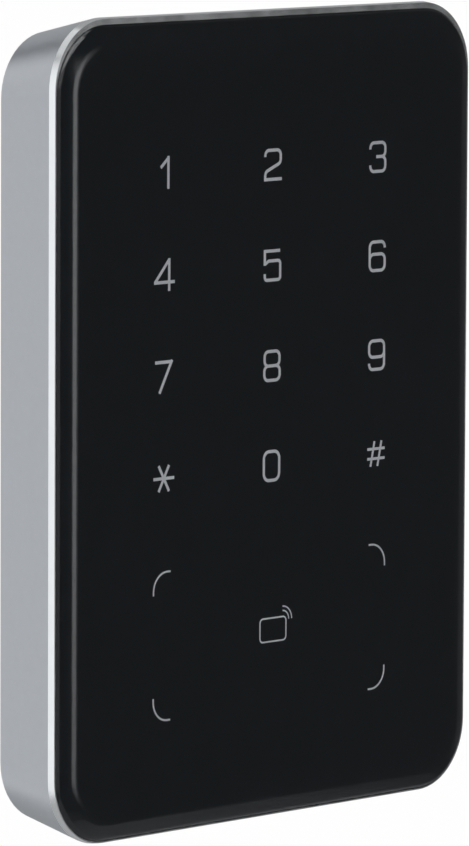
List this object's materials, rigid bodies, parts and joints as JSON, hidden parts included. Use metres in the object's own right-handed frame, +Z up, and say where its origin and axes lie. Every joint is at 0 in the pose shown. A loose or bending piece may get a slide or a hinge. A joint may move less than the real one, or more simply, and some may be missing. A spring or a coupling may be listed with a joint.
{
  "type": "rfid card reader",
  "caption": "Wall-mounted RFID card reader with a touch keypad behind a black glass front, a tapered silver metal housing and a hook-on wall bracket with a locking screw.",
  "frame": {"origin": "point on the wall plane, on the wall bracket's rear face, behind the middle of the reader's front", "axes": "+Z up, +X to the right as seen from the front, -Y out of the wall towards the user, wall plane at Y = 0"},
  "size_m": [0.09, 0.013, 0.12],
  "materials": {
    "satin_metal": "satin, fine blasted grain, with a polished lip round the glass",
    "front_glass": "clear tempered glass, gloss, polished rounded edge",
    "black_film": "black print film, smooth",
    "legend_ink": "pale grey print",
    "tape": "black adhesive tape",
    "diffuser": "milky diffuser",
    "circuit_board": "green solder mask",
    "copper": "copper track",
    "led": "lamp body",
    "ferrite": "ferrite sheet, matte",
    "chip": "moulded black epoxy",
    "plated_part": "tin-plated part",
    "capacitor": "moulded capacitor body",
    "inner_plastic": "black moulded plastic",
    "cover_plastic": "dark textured plastic",
    "connector_plastic": "off-white connector body",
    "silicone": "grey silicone rubber",
    "membrane": "white vent membrane",
    "spring_steel": "spring wire",
    "screw_steel": "zinc-plated steel",
    "bracket_steel": "galvanised sheet steel",
    "nut_steel": "plated steel"
  },
  "bodies": {
    "wall_bracket": {"wall_bracket": "bracket_steel", "lock_nut": "nut_steel"},
    "reader": {"housing": "satin_metal", "front_glass": "front_glass", "print_film": "black_film", "key_legends": "legend_ink", "card_zone_marks": "legend_ink", "panel_tape": "tape", "light_guide": "diffuser", "touch_board": "circuit_board", "touch_pads": "copper", "antenna_coil": "copper", "backlight_leds": "led", "ferrite_sheet": "ferrite", "touch_controller": "chip", "inner_frame": "inner_plastic", "main_board": "circuit_board", "microcontroller": "chip", "rf_reader_chip": "chip", "crystals": "plated_part", "bus_drivers": "chip", "power_regulator": "chip", "power_inductor": "chip", "filter_capacitors": "capacitor", "board_header": "connector_plastic", "board_socket": "connector_plastic", "wire_header": "connector_plastic", "buzzer": "inner_plastic", "tamper_switch": "inner_plastic", "tamper_spring": "spring_steel", "board_screws": "screw_steel", "back_cover": "cover_plastic", "cover_gasket": "silicone", "cover_screws": "screw_steel", "cable_grommet": "silicone", "vent_membrane": "membrane"},
    "lock_washer": {"lock_washer": "screw_steel"},
    "lock_screw": {"lock_screw": "screw_steel"},
    "tamper_plunger": {"tamper_plunger": "connector_plastic"}
  },
  "joints": [
    {"name": "reader_lift", "type": "slide", "parent": "wall_bracket", "child": "reader", "axis": [0, 0, 1], "range_m": [0, 0.005]},
    {"name": "lock_screw_travel", "type": "slide", "parent": "reader", "child": "lock_washer", "axis": [0, 0, -1], "range_m": [0, 0.009]},
    {"name": "lock_screw_turn", "type": "hinge", "parent": "lock_washer", "child": "lock_screw", "pos_m": [0, -0.0046, -0.0559], "axis": [0, 0, -1], "range_deg": [0, 6480]},
    {"name": "tamper_travel", "type": "slide", "parent": "reader", "child": "tamper_plunger", "axis": [0, 1, 0], "range_m": [0, 0.00095], "stiffness_N_per_m": 250, "springref_m": 0.003, "deforming": ["tamper_spring"]}
  ],
  "couplings": [
    {"joint": "lock_screw_turn", "follows": "lock_screw_travel", "rad_per_m": 12566}
  ]
}
